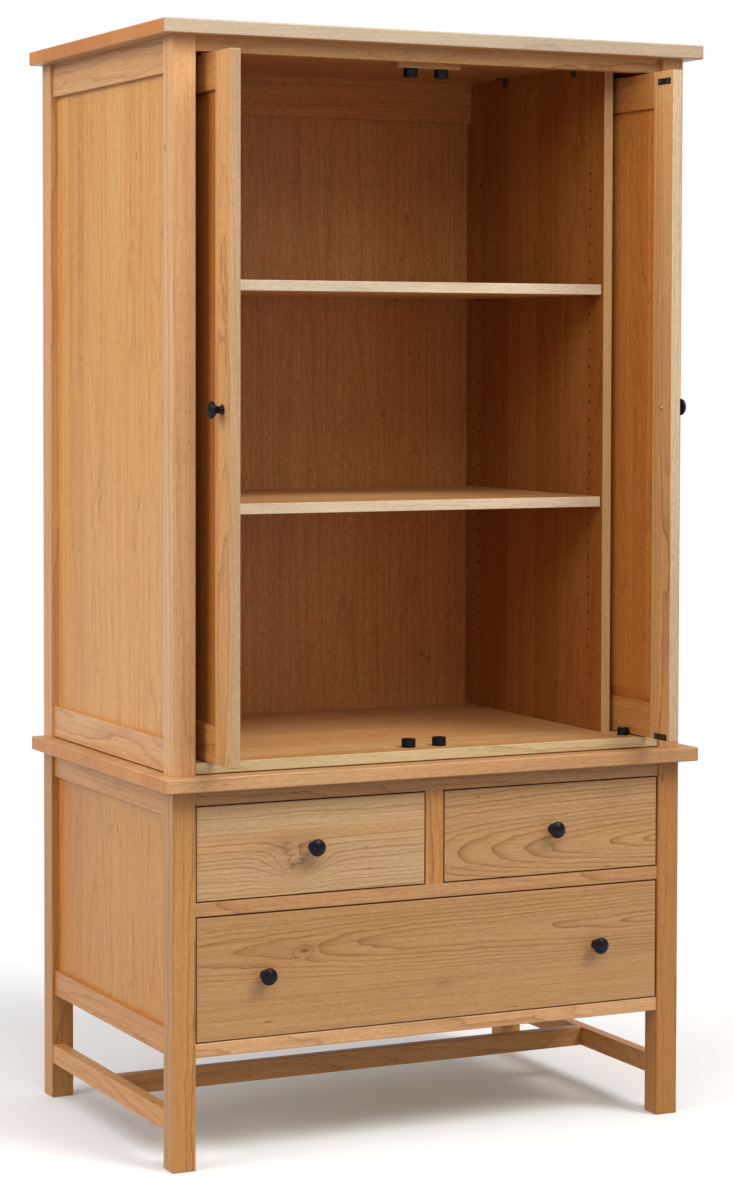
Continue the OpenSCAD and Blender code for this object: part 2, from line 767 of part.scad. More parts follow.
module wide_drawer_knobs() color(black) in_part() drawer_knobs(wide_knobs, wide_z);

legs();
waist_board();
chest_top_rail();
chest_middle_rail();
chest_bottom_rail();
drawer_divider();
chest_side_rails();
chest_side_panels();
chest_back_frame();
chest_back_panels();
side_stretchers();
centre_stretcher();
drawer_runners();
drawer_guides();
posts();
top_board();
upper_front_rail();
upper_side_rails();
upper_side_panels();
case_floor();
left_partition();
right_partition();
upper_back_frame();
upper_back_panel();
upper_shelf();
lower_shelf();
shelf_pins();
catch_cleat();
door_catches();
partition_clips();
roller_pins();
door_tracks();
left_guide_roller();
right_guide_roller();
left_door_stiles();
left_door_rails();
left_door_panel();
left_door_knob();
left_door_strikes();
left_door_hinges();
left_door_carriage();
right_door_stiles();
right_door_rails();
right_door_panel();
right_door_knob();
right_door_strikes();
right_door_hinges();
right_door_carriage();
left_drawer_front();
left_drawer_box();
left_drawer_bottom();
left_drawer_knob();
right_drawer_front();
right_drawer_box();
right_drawer_bottom();
right_drawer_knob();
wide_drawer_front();
wide_drawer_box();
wide_drawer_bottom();
wide_drawer_knobs();
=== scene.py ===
"""Looks of the cherry armoire: eased boards of procedural cherry, turned knobs, hardware, and light."""

import json
import math
import random

import bmesh
import bpy
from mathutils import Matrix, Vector
from mathutils.bvhtree import BVHTree


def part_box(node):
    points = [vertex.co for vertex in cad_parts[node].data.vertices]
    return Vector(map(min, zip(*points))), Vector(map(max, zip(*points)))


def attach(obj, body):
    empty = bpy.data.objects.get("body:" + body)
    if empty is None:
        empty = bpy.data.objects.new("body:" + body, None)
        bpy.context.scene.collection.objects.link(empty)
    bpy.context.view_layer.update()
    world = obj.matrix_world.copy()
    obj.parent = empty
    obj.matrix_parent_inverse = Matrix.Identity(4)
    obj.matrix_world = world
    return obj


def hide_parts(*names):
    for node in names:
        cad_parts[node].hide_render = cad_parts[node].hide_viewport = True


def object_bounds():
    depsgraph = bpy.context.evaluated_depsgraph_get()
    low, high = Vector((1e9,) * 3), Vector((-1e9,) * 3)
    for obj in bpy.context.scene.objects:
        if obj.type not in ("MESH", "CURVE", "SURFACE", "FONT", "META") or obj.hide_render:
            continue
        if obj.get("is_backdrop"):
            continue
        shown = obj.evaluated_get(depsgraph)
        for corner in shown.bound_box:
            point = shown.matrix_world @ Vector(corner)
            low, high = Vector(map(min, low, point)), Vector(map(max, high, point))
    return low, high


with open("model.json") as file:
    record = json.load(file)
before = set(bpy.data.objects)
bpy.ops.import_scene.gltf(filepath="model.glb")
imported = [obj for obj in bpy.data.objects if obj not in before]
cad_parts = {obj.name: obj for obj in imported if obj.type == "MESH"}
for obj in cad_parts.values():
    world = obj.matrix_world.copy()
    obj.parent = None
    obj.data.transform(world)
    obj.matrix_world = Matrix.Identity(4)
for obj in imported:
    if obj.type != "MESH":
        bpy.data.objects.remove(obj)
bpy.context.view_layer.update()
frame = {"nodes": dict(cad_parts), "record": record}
scene = bpy.context.scene


# --- Camera, floor and light -----------------------------------------------------------

AMBIENT = (0.36, 0.72)  # strength of the pale surround as a light, from below and from above
AMBIENT_HEIGHTS = (-0.5, 0.8)  # heights of the direction between which it changes
FLOOR_HALF = 30.0  # half of the floor's side, in metres


def make_camera():
    """A long lens from the left, a little above the middle, with the horizon above the frame's centre."""
    data = bpy.data.cameras.new("camera")
    data.sensor_width = 36.0
    data.lens = 91.1
    data.shift_x = 0.0382
    data.shift_y = -0.0945
    data.clip_end = 100.0
    camera = bpy.data.objects.new("camera", data)
    camera.location = (-2.431, -4.933, 1.370)
    camera.rotation_euler = (math.radians(87.58), math.radians(-0.1), math.radians(-25.31))
    scene.collection.objects.link(camera)
    scene.camera = camera


def make_floor():
    """A pale floor that throws no light back up."""
    outline = [(x * FLOOR_HALF, y * FLOOR_HALF, 0) for x, y in ((-1, -1), (1, -1), (1, 1), (-1, 1))]
    mesh = bpy.data.meshes.new("floor")
    mesh.from_pydata(outline, [], [(0, 1, 2, 3)])
    floor = bpy.data.objects.new("floor", mesh)
    floor.visible_diffuse = False
    scene.collection.objects.link(floor)
    material = bpy.data.materials.new("pale_floor")
    material.use_nodes = True
    shader = material.node_tree.nodes["Principled BSDF"]
    shader.inputs["Base Color"].default_value = (0.93, 0.93, 0.93, 1.0)
    shader.inputs["Roughness"].default_value = 0.9
    mesh.materials.append(material)
    floor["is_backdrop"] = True


def make_surround():
    """A surround that is white to look at, and lights the scene more from above than from below."""
    world = bpy.data.worlds.new("studio")
    world.use_nodes = True
    nodes, links = world.node_tree.nodes, world.node_tree.links
    background = nodes["Background"]
    background.inputs["Color"].default_value = (1.0, 1.0, 1.0, 1.0)
    direction = nodes.new("ShaderNodeSeparateXYZ")
    links.new(nodes.new("ShaderNodeTexCoord").outputs["Generated"], direction.inputs[0])
    height = nodes.new("ShaderNodeMapRange")
    for socket, number in zip(height.inputs[1:5], AMBIENT_HEIGHTS + AMBIENT):
        socket.default_value = number
    links.new(direction.outputs["Z"], height.inputs["Value"])
    strength = nodes.new("ShaderNodeMix")
    links.new(nodes.new("ShaderNodeLightPath").outputs["Is Camera Ray"], strength.inputs["Factor"])
    links.new(height.outputs[0], strength.inputs["A"])
    strength.inputs["B"].default_value = 1.0
    links.new(strength.outputs[0], background.inputs["Strength"])
    scene.world = world


def soft_sun(name, towards, angle, strength, colour=(1.0, 1.0, 1.0)):
    """A distant softbox: towards points from the object to the light, angle is its spread in degrees."""
    data = bpy.data.lights.new(name, "SUN")
    data.angle = math.radians(angle)
    data.energy = strength
    data.color = colour
    lamp = bpy.data.objects.new(name, data)
    lamp.rotation_euler = Vector(towards).to_track_quat("Z", "Y").to_euler()
    scene.collection.objects.link(lamp)


def softbox(name, place, aim, side, power, colour=(1.0, 1.0, 1.0)):
    """A square softbox at a place, turned towards a point."""
    data = bpy.data.lights.new(name, "AREA")
    data.size = side
    data.energy = power
    data.color = colour
    lamp = bpy.data.objects.new(name, data)
    lamp.location = place
    lamp.rotation_euler = (Vector(place) - Vector(aim)).to_track_quat("Z", "Y").to_euler()
    scene.collection.objects.link(lamp)


def make_lights():
    """A high soft key from the right front, a soft light from the left, and three softboxes above."""
    soft_sun("key", (0.42, -0.62, 0.80), 24, 1.6, (1.0, 0.98, 0.95))
    soft_sun("left", (-0.90, -0.16, 0.36), 36, 0.95)
    softbox("left_softbox", (-2.3, -0.1, 3.0), (-0.5, 0.2, 1.6), 1.2, 16.0)
    softbox("front_softbox", (-0.9, -2.1, 3.1), (-0.2, -0.3, 1.6), 1.4, 24.0)
    softbox("top_softbox", (0.2, -1.5, 2.7), (0.0, -0.3, 1.8), 1.2, 4.0, (0.90, 0.95, 1.0))


# --- Node helpers ----------------------------------------------------------------------


class Graph:
    """Short calls for building a material's nodes."""

    def __init__(self, name):
        self.material = bpy.data.materials.new(name)
        self.material.use_nodes = True
        self.tree = self.material.node_tree
        self.shader = self.tree.nodes["Principled BSDF"]

    def node(self, kind, **settings):
        node = self.tree.nodes.new(kind)
        for key, value in settings.items():
            setattr(node, key, value)
        return node

    def feed(self, socket, value):
        if isinstance(value, bpy.types.NodeSocket):
            self.tree.links.new(value, socket)
        else:
            socket.default_value = value

    def math(self, operation, a, b=0.0, c=0.0, clamp=False):
        node = self.node("ShaderNodeMath", operation=operation, use_clamp=clamp)
        for socket, value in zip(node.inputs, (a, b, c)):
            self.feed(socket, value)
        return node.outputs[0]

    def add(self, a, b):
        return self.math("ADD", a, b)

    def times(self, a, b, clamp=False):
        return self.math("MULTIPLY", a, b, clamp=clamp)

    def times_add(self, a, b, c):
        return self.math("MULTIPLY_ADD", a, b, c)

    def combine(self, x, y, z):
        node = self.node("ShaderNodeCombineXYZ")
        for socket, value in zip(node.inputs, (x, y, z)):
            self.feed(socket, value)
        return node.outputs[0]

    def separate(self, vector):
        node = self.node("ShaderNodeSeparateXYZ")
        self.feed(node.inputs[0], vector)
        return node.outputs

    def stretched(self, place, scale):
        """A place with each of its parts times a scale of its own."""
        parts = zip(place, scale)
        return self.combine(*(part if factor == 1.0 else self.times(part, factor) for part, factor in parts))

    def noise(self, vector, detail, roughness=0.5, scale=1.0):
        node = self.node("ShaderNodeTexNoise", noise_dimensions="3D")
        self.feed(node.inputs["Vector"], vector)
        node.inputs["Scale"].default_value = scale
        node.inputs["Detail"].default_value = detail
        node.inputs["Roughness"].default_value = roughness
        return node.outputs["Fac"]

    def range(self, value, low, high, to_low=0.0, to_high=1.0, smooth=False):
        node = self.node("ShaderNodeMapRange", clamp=True)
        if smooth:
            node.interpolation_type = "SMOOTHSTEP"
        for socket, number in zip(node.inputs, (value, low, high, to_low, to_high)):
            self.feed(socket, number)
        return node.outputs[0]

    def mix(self, factor, a, b, blend="MIX"):
        node = self.node("ShaderNodeMix", data_type="RGBA", blend_type=blend)
        self.feed(node.inputs[0], factor)
        self.feed(node.inputs[6], a)
        self.feed(node.inputs[7], b)
        return node.outputs[2]

    def attribute(self, name):
        return self.node("ShaderNodeAttribute", attribute_name=name)

    def bump(self, height, strength, distance):
        node = self.node("ShaderNodeBump")
        node.inputs["Strength"].default_value = strength
        node.inputs["Distance"].default_value = distance
        self.feed(node.inputs["Height"], height)
        self.feed(self.shader.inputs["Normal"], node.outputs[0])

    def constants(self, **values):
        for name, value in values.items():
            self.shader.inputs[name.replace("_", " ")].default_value = value


def rgb(red, green, blue):
    return (red, green, blue, 1.0)


# --- Wood ------------------------------------------------------------------------------

# Cycles of each pattern per metre along, across and through a board; a part that only picks a pattern has 1
DRIFT = (1.7, 1.0, 1.0)
WOBBLE = (5.0, 22.0, 1.0)
TREMBLE = (22.0, 90.0, 1.0)
STREAKS = (0.9, 34.0, 1.0)
NARROW_STREAKS = (1.6, 170.0, 1.0)
FIBRES = (7.0, 520.0, 520.0)
PORES = (90.0, 430.0, 430.0)
CLOUDS = (2.2, 5.0, 1.0)
BLUSHES = (1.3, 13.0, 1.0)
FLECKS = (8.0, 42.0, 20.0)
YEARS = 40.0  # cycles of wide and narrow years per metre from the pith

STRIPS_APART = (9.0, 0.08, 0.05)  # how far strips' places in the log differ: along, to the side and deeper
TREMBLE_REACH = 0.0018  # metres that the rings tremble by
LATE_WOOD = (0.45, 0.93, 0.99)  # parts of a ring where its late wood starts, is darkest and ends
FINE_LINE = (0.84, 0.93, 0.94, 0.99)  # and where its fine line starts, is full, fades and ends
HALO_DARK, HEART_DARK = 0.28, 0.5  # how dark a knot's halo and its heart are
HEART_TIGHT = 30.0  # how much faster the heart fades with the square of the distance than the halo does
RARE_FLECK = 0.66  # part of the cells that hold no gum fleck


def glued_strips(g, along, across, depth, tone, width):
    """Strips of random width: each has its own tone and its own place in the log."""
    cells = g.node("ShaderNodeTexVoronoi", voronoi_dimensions="1D", feature="F1")
    spot = g.times_add(tone, 3.0, across)
    g.feed(cells.inputs["W"], spot)
    cells.inputs["Scale"].default_value = 1.0 / width
    strip_tone, strip_place, strip_side = g.separate(cells.outputs["Color"])
    run_apart, side_apart, deep_apart = STRIPS_APART
    side = g.math("SUBTRACT", spot, cells.outputs["W"])
    side = g.add(side, g.times_add(strip_side, side_apart, -side_apart / 2))
    below = g.times_add(strip_place, deep_apart, depth)
    run = g.times_add(strip_place, run_apart, along)
    return run, side, below, strip_tone, strip_side


def lift_over_knots(g, radius, tremble, knots):
    """The rings rise over each knot, round a dark heart in a brown halo: the new radius and the darkness."""
    along, across = g.separate(g.attribute("bare").outputs["Vector"])[0:2]
    darkness = 0.0
    for knot_along, knot_across, size, lift in knots:
        off_along = g.times(g.math("SUBTRACT", along, knot_along), 0.5 / size)
        off_across = g.times(g.math("SUBTRACT", across, knot_across), 1.0 / size)
        away = g.add(g.times(off_along, off_along), g.times(off_across, off_across))
        away = g.add(away, g.times_add(tremble, 0.5, -0.25))
        halo = g.math("EXPONENT", g.times(away, -1.0))
        heart = g.math("EXPONENT", g.times(away, -HEART_TIGHT))
        radius = g.times_add(halo, lift, radius)
        dark = g.times_add(halo, HALO_DARK, g.times(heart, HEART_DARK))
        darkness = g.math("MAXIMUM", darkness, dark)
    return radius, darkness


def growth_rings(g, radius, tone, ring, strength):
    """How dark the late wood is, and the fine line that ends it; some rings are fainter by chance."""
    years = g.noise(g.combine(g.times(radius, YEARS), tone, 0.0), 1.0)
    rings = g.add(g.times(radius, 1.0 / ring), g.times(years, 1.3))
    phase = g.math("FRACT", rings)
    start, dark, end = LATE_WOOD
    late = g.times(g.range(phase, start, dark, smooth=True), g.range(phase, dark, end, 1.0, 0.0))
    chance = g.node("ShaderNodeTexWhiteNoise", noise_dimensions="1D")
    g.feed(chance.inputs["W"], g.math("FLOOR", rings))
    late = g.times(late, g.range(chance.outputs["Value"], 0.2, 1.0, 0.15, 1.0))
    late = g.times(late, strength, clamp=True)
    start, full, fading, end = FINE_LINE
    fine_line = g.times(g.range(phase, start, full, smooth=True), g.range(phase, fading, end, 1.0, 0.0))
    fine_line = g.times(fine_line, g.times(late, 0.6), clamp=True)
    return late, fine_line


def gum_flecks(g, place, strength):
    """Short dark dashes, few and scattered."""
    cells = g.node("ShaderNodeTexVoronoi", voronoi_dimensions="3D", feature="F1")
    g.feed(cells.inputs["Vector"], g.stretched(place, FLECKS))
    cells.inputs["Scale"].default_value = 1.0
    picked = g.math("GREATER_THAN", g.separate(cells.outputs["Color"])[0], RARE_FLECK)
    spot = g.range(cells.outputs["Distance"], 0.02, 0.085, 1.0, 0.0, smooth=True)
    return g.times(g.times(picked, spot), 0.8 * strength, clamp=True)


def wood_material(name, pale, middle, dark, line, strip=0.0, figure=1.0, fleck=1.0, rough=0.36, ring=0.008,
                  wander=0.05, reach=1.0, grit=0.17, wobbly=0.020, knots=()):
    """Clear-finished wood in a board's own space.

    The grain attribute holds metres along, across and through the board, with the depth measured from the
    pith of the tree. strip is the mean width of the glued-up strips, or 0 for a board of one piece. figure
    is the strength of the growth rings' lines and ring is their spacing. wander is how far the pith strays
    from a straight line, wobbly is how far the rings do, and past reach from the pith the lines fade. fleck
    is the strength of the small dark gum flecks, and grit is that of the pores. Each knot is its place along
    and across from the board's middle, its size, and how far it lifts the rings.
    """
    g = Graph(name)
    along, across, depth = g.separate(g.attribute("grain").outputs["Vector"])
    tone = g.attribute("tone").outputs["Fac"]
    if strip:
        run, side, below, strip_tone, strip_side = glued_strips(g, along, across, depth, tone, strip)
    else:
        run, side, below, strip_tone, strip_side = along, across, depth, 0.0, 0.0
    place = (run, across, depth)

    # Distance from the pith, which wanders along the board, gives rings, arches and ovals
    drift = g.noise(g.stretched((run, strip_side, tone), DRIFT), 1.0)
    below = g.add(below, g.times_add(drift, wander, -wander / 2))
    wobble = g.noise(g.stretched(place, WOBBLE), 3.0)
    tremble = g.noise(g.stretched(place, TREMBLE), 2.0)
    radius = g.math("SQRT", g.add(g.times(side, side), g.times(below, below)))
    fade = g.range(radius, reach, 1.6 * reach, 1.0, 0.25)
    radius = g.add(radius, g.times(wobble, wobbly))
    radius = g.add(radius, g.times(tremble, TREMBLE_REACH))
    if knots:
        radius, darkness = lift_over_knots(g, radius, tremble, knots)
    late, fine_line = growth_rings(g, radius, tone, ring, g.times(fade, figure))

    # Broad and narrow streaks, fibres and pores along the grain, and soft clouds and blushes
    streaks = g.noise(g.stretched(place, STREAKS), 3.0, 0.6)
    narrow = g.noise(g.stretched(place, NARROW_STREAKS), 2.0, 0.6)
    fibres = g.noise(g.stretched(place, FIBRES), 2.0, 0.6)
    pores = g.noise(g.stretched(place, PORES), 2.0, 0.7)
    clouds = g.noise(g.stretched((run, across, tone), CLOUDS), 2.0)
    blushes = g.noise(g.stretched((run, across, strip_side), BLUSHES), 2.0)

    # Colour: pale to middle by streaks, strips and boards, then towards dark along the rings
    shade = g.times(streaks, 0.9)
    for part, weight in ((clouds, 0.6), (narrow, 0.6), (strip_tone, 1.0), (tone, 0.6)):
        shade = g.add(shade, g.times(part, weight))
    middling = 1.83 if strip else 1.33
    colour = g.mix(g.range(shade, middling - 0.6, middling + 0.6), pale, middle)
    redder = g.mix(1.0, colour, rgb(1.03, 0.89, 0.76), "MULTIPLY")
    colour = g.mix(g.range(blushes, 0.48, 0.72, 0.0, 0.65), colour, redder)
    colour = g.mix(g.times(late, 0.58), colour, dark)
    colour = g.mix(fine_line, colour, line)
    colour = g.mix(g.range(fibres, 0.35, 0.75, 0.0, 0.32), colour, dark)
    grey = g.add(g.range(pores, 0.25, 0.75, grit, -grit), g.range(narrow, 0.25, 0.75, 0.09, -0.09))
    colour = g.mix(1.0, colour, g.add(grey, 1.0), "MULTIPLY")
    if knots:
        colour = g.mix(darkness, colour, line)
    colour = g.mix(gum_flecks(g, place, fleck), colour, line)
    g.feed(g.shader.inputs["Base Color"], colour)

    # The late wood is a little duller and lower than the rest
    gloss = g.add(g.range(fibres, 0.3, 0.7, rough - 0.04, rough + 0.06), g.times(late, 0.05))
    g.feed(g.shader.inputs["Roughness"], gloss)
    g.constants(Coat_Weight=0.03, Coat_Roughness=0.3, Specular_IOR_Level=0.27)
    relief = g.math("SUBTRACT", g.times(g.add(fibres, pores), 0.4), g.times(late, 0.3))
    g.bump(relief, 0.15, 0.0004)
    return g.material


def cherry(name, shade, **settings):
    """Cherry with a clear finish: its pale, middle, dark and line colours times a shade."""
    colours = ((0.70, 0.395, 0.165), (0.55, 0.262, 0.088), (0.38, 0.150, 0.040), (0.20, 0.064, 0.016))
    tinted = [rgb(*(part * factor for part, factor in zip(colour, shade))) for colour in colours]
    return wood_material(name, *tinted, **settings)


# --- Metal and plastic -----------------------------------------------------------------

SPOTS = 900.0  # cycles per metre of the unevenness in the relief
SMEARS = 40.0  # and of that in the gloss and the colour


def plain_material(name, colour, metallic, rough, relief=0.05, specular=0.5):
    """Painted, moulded or plated surface with fine unevenness in its colour, its gloss and its relief."""
    g = Graph(name)
    place = g.node("ShaderNodeTexCoord").outputs["Object"]
    spots = g.noise(place, 3.0, scale=SPOTS)
    smears = g.noise(place, 3.0, scale=SMEARS)
    darker = rgb(*(0.7 * part for part in colour[:3]))
    g.feed(g.shader.inputs["Base Color"], g.mix(g.range(smears, 0.3, 0.7), colour, darker))
    g.feed(g.shader.inputs["Roughness"], g.range(smears, 0.3, 0.7, rough - 0.05, rough + 0.08))
    g.constants(Metallic=metallic, Specular_IOR_Level=specular)
    g.bump(spots, relief, 0.0002)
    return g.material


# --- Boards ----------------------------------------------------------------------------

EASE = 0.0015  # width of the easing of most boards' arrises
SLAB_EASE = 0.003  # of the top and waist boards
FRONT_EASE = 0.0012  # of the drawer fronts
DRAWER_EASE = 0.001  # of the drawers' boxes and what carries them
JOINT_EASE = 0.00025  # and where boards meet
BACK_RAIL_REACH = 0.411  # from the middle of the back frames to the ends of their rails
DRAWER_SIDE = 0.012  # thickness of a drawer's sides
WELD = 1e-6  # metres: points closer than this are one point
SEAM = 1e-5  # metres: points closer than this to a cut lie on it
FLAT = math.radians(0.5)  # faces that meet at a smaller angle are one face
TOUCH = 0.0004  # metres: surfaces closer than this touch
ALIGNED = 0.99  # a face with this much of its normal along an axis faces that way
SHARP = math.radians(50)  # edges with at least this angle between their faces are eased
SHORTEST = 0.012  # metres: shorter edges stay sharp
BORE_FACE = 4e-5  # square metres: only the faces of small holes are smaller
FRONT, ENDS, BORES = 1, 2, 3  # places of a board's other materials in its list


def welded(node):
    """A copy of a CAD node's mesh, with its faces joined along their edges."""
    mesh_bm = bmesh.new()
    mesh_bm.from_mesh(frame["nodes"][node].data)
    bmesh.ops.remove_doubles(mesh_bm, verts=mesh_bm.verts, dist=WELD)
    return mesh_bm


def corners(vertices):
    """Lowest and highest corners of some vertices."""
    low = Vector([min(v.co[i] for v in vertices) for i in range(3)])
    high = Vector([max(v.co[i] for v in vertices) for i in range(3)])
    return low, high


def islands(mesh_bm):
    """The separate solids of a mesh, each as a list of vertices, in the order of their middles."""
    def middle(island):
        # An exact sum doesn't depend on the order of the vertices, which changes from run to run
        return tuple(round(math.fsum(v.co[i] for v in island) / len(island), 4) for i in range(3))

    left = set(mesh_bm.verts)
    found = []
    while left:
        stack = [left.pop()]
        island = list(stack)
        while stack:
            for edge in stack.pop().link_edges:
                for other in edge.verts:
                    if other in left:
                        left.remove(other)
                        island.append(other)
                        stack.append(other)
        found.append(island)
    return sorted(found, key=middle)


def board_axes(low, high, grain):
    """Indices of the axes along, across and through a board."""
    size = high - low
    order = sorted(range(3), key=lambda i: (round(size[i], 4), i != 1))
    through = order[0]
    along = "xyz".index(grain) if grain else order[2]
    if along == through:
        through = order[1]
    across = 3 - along - through
    return along, across, through


def lay_grain(mesh_bm, grain, seed, pith=None, tones=()):
    """Writes each board's own coordinates and its tone on its vertices.

    pith is where the middle of the tree lies for a board's figure: how far to the side and how deep at the
    board's middle, and how much deeper it gets per metre along the board. tones are chosen tones by board.
    """
    place = mesh_bm.verts.layers.float_vector.new("grain")
    bare = mesh_bm.verts.layers.float_vector.new("bare")
    tone = mesh_bm.verts.layers.float.new("tone")
    dice = random.Random(seed)
    for number, island in enumerate(islands(mesh_bm)):
        low, high = corners(island)
        along, across, through = board_axes(low, high, grain)
        centre = (low + high) / 2
        shift = dice.uniform(0.0, 40.0)
        chance = (dice.uniform(-0.03, 0.03), dice.uniform(0.04, 0.10), dice.uniform(-0.06, 0.06))
        to_side, deep, slope = pith or chance
        shade = dice.random()
        if tones:
            shade = tones[number]
        for v in island:
            local = v.co - centre
            depth = local[through] + deep + slope * local[along]
            v[place] = (local[along] + shift, local[across] - to_side, depth)
            v[bare] = (local[along], local[across], local[through])
            v[tone] = shade


def build_trees():
    """The box and the surface of each CAD node, for finding what touches a point."""
    trees = {}
    for name, node in frame["nodes"].items():
        low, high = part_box(name)
        points = [v.co.copy() for v in node.data.vertices]
        faces = [tuple(f.vertices) for f in node.data.polygons]
        trees[name] = (low, high, BVHTree.FromPolygons(points, faces))
    return trees


TREES = build_trees()


def touching(node, point):
    """True if another CAD node's surface touches the point."""
    for other, (low, high, tree) in TREES.items():
        if other == node:
            continue
        if any(point[i] < low[i] - TOUCH or point[i] > high[i] + TOUCH for i in range(3)):
            continue
        if tree.find_nearest(point, TOUCH)[0] is not None:
            return True
    return False


def body_of_node(node):
    for body, members in frame["record"]["behaviour"]["bodies"].items():
        if node in members:
            return body
    raise ValueError(node)


def finish_piece(mesh_bm, name, body, material, smooth=False):
    """Links a finished mesh as a piece that rides on a body."""
    mesh = bpy.data.meshes.new(name)
    mesh_bm.to_mesh(mesh)
    mesh_bm.free()
    for face in mesh.polygons:
        face.use_smooth = smooth
    mesh.materials.append(material)
    piece = bpy.data.objects.new(name, mesh)
    scene.collection.objects.link(piece)
    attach(piece, body)
    return piece


def cut_apart(mesh_bm, reach):
    """Parts the boards that lie within reach of the middle of the mesh from those outside them."""
    low, high = corners(mesh_bm.verts)
    middle = (low.x + high.x) / 2
    for sign in (-1.0, 1.0):
        place = middle + sign * reach
        geometry = mesh_bm.verts[:] + mesh_bm.edges[:] + mesh_bm.faces[:]
        plane = {"plane_co": (place, 0, 0), "plane_no": (sign, 0, 0)}
        bmesh.ops.bisect_plane(mesh_bm, geom=geometry, dist=WELD, **plane)
        seam = []
        for edge in mesh_bm.edges:
            if all(abs(v.co.x - place) < SEAM for v in edge.verts):
                inside = [(place - face.calc_center_median().x) * sign > SEAM for face in edge.link_faces]
                if inside.count(True) == 1 and inside.count(False) == 1:
                    seam.append(edge)
        bmesh.ops.split_edges(mesh_bm, edges=seam)
        bmesh.ops.holes_fill(mesh_bm, edges=[e for e in mesh_bm.edges if e.is_boundary])
    bmesh.ops.recalc_face_normals(mesh_bm, faces=mesh_bm.faces)


def share_faces(mesh_bm, front, ends, bores):
    """Gives the faces at the front, at the left and right ends, and in small holes their own materials."""
    for face in mesh_bm.faces:
        if bores and face.calc_area() < BORE_FACE:
            face.material_index = BORES
        elif ends and abs(face.normal.x) > ALIGNED:
            face.material_index = ENDS
        elif front and face.normal.y < -ALIGNED:
            face.material_index = FRONT


def weigh_arrises(mesh_bm, node, at_joints):
    """Marks the long sharp edges to be eased, and those that touch another node to be eased less."""
    weight = mesh_bm.edges.layers.float.new("bevel_weight_edge")
    for edge in mesh_bm.edges:
        if len(edge.link_faces) != 2 or edge.calc_length() < SHORTEST:
            continue
        if edge.calc_face_angle() < SHARP or not edge.is_convex:
            continue
        middle = (edge.verts[0].co + edge.verts[1].co) / 2
        edge[weight] = at_joints if touching(node, middle) else 1.0


def eased_boards(nodes, material, ease=EASE, grain=None, front=None, ends=None, bores=None,
                 cut=None, pith=None, tones=()):
    """Stands for CAD nodes: the same boards with eased long arrises and grain coordinates.

    ease is the width of the easing, which is JOINT_EASE where boards meet. grain is the axis that the grain
    follows, or None for each board's longest. front, ends and bores are other materials, as in share_faces;
    cut parts joined boards at that distance from the middle; pith and tones are as in lay_grain.
    """
    for node in nodes:
        mesh_bm = welded(node)
        bmesh.ops.dissolve_limit(mesh_bm, angle_limit=FLAT, verts=mesh_bm.verts, edges=mesh_bm.edges)
        if cut:
            cut_apart(mesh_bm, cut)
        lay_grain(mesh_bm, grain, node, pith, tones)
        share_faces(mesh_bm, front, ends, bores)
        weigh_arrises(mesh_bm, node, JOINT_EASE / ease)
        piece = finish_piece(mesh_bm, node + "_eased", body_of_node(node), material)
        for extra in (front, ends, bores):
            piece.data.materials.append(extra or material)
        bevel = piece.modifiers.new("eased", "BEVEL")
        bevel.limit_method = "WEIGHT"
        bevel.width = ease
        bevel.segments = 3
        bevel.harden_normals = True
        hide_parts(node)


# --- Knobs and screws ------------------------------------------------------------------

KNOB_FOOT = 0.0088  # radius of a knob's foot
KNOB_NECK = 0.0057  # and of its neck at its narrowest
KNOB_RIM = 0.0042  # radius of the round of its head's rim
KNOB_RIM_DROP = 0.0078  # depth of the middle of that round under the top
RIM_END = 65  # degrees of the rim's round above and below its middle
KNOB_WAIST = 0.0022  # height where the neck starts
KNOB_HEAD = 0.46  # part of a knob's height where the neck ends
SCREW_REACH = 0.021  # how far a knob's screw goes behind the knob, in the CAD
BOARD = 0.019  # thickness of the doors' stiles and the drawers' fronts
PLATE_SCREW_INSET = 0.007  # from the ends of a strike plate to its screws


def lathe(mesh_bm, profile, origin, axis, steps=40):
    """Turns a profile of (radius, height) about an axis through origin; closed at both ends."""
    turn = Vector(axis).to_track_quat("Z", "Y").to_matrix()
    angles = [2 * math.pi * k / steps for k in range(steps)]
    origin = Vector(origin)
    rows = []
    for radius, height in profile:
        if radius < 1e-7:
            rows.append([mesh_bm.verts.new(origin + turn @ Vector((0, 0, height)))])
            continue
        circle = [Vector((radius * math.cos(a), radius * math.sin(a), height)) for a in angles]
        rows.append([mesh_bm.verts.new(origin + turn @ point) for point in circle])
    for low, high in zip(rows, rows[1:]):
        for k in range(steps):
            m = (k + 1) % steps
            if len(low) == 1:
                mesh_bm.faces.new((low[0], high[m], high[k]))
            elif len(high) == 1:
                mesh_bm.faces.new((low[k], low[m], high[0]))
            else:
                mesh_bm.faces.new((low[k], low[m], high[m], high[k]))


def round_corner(radius, height, bend, start, end, count):
    """Points of an arc of a profile about (radius, height), from angle start to end in degrees."""
    angles = [math.radians(start + (end - start) * k / count) for k in range(count + 1)]
    return [(radius + bend * math.cos(a), height + bend * math.sin(a)) for a in angles]


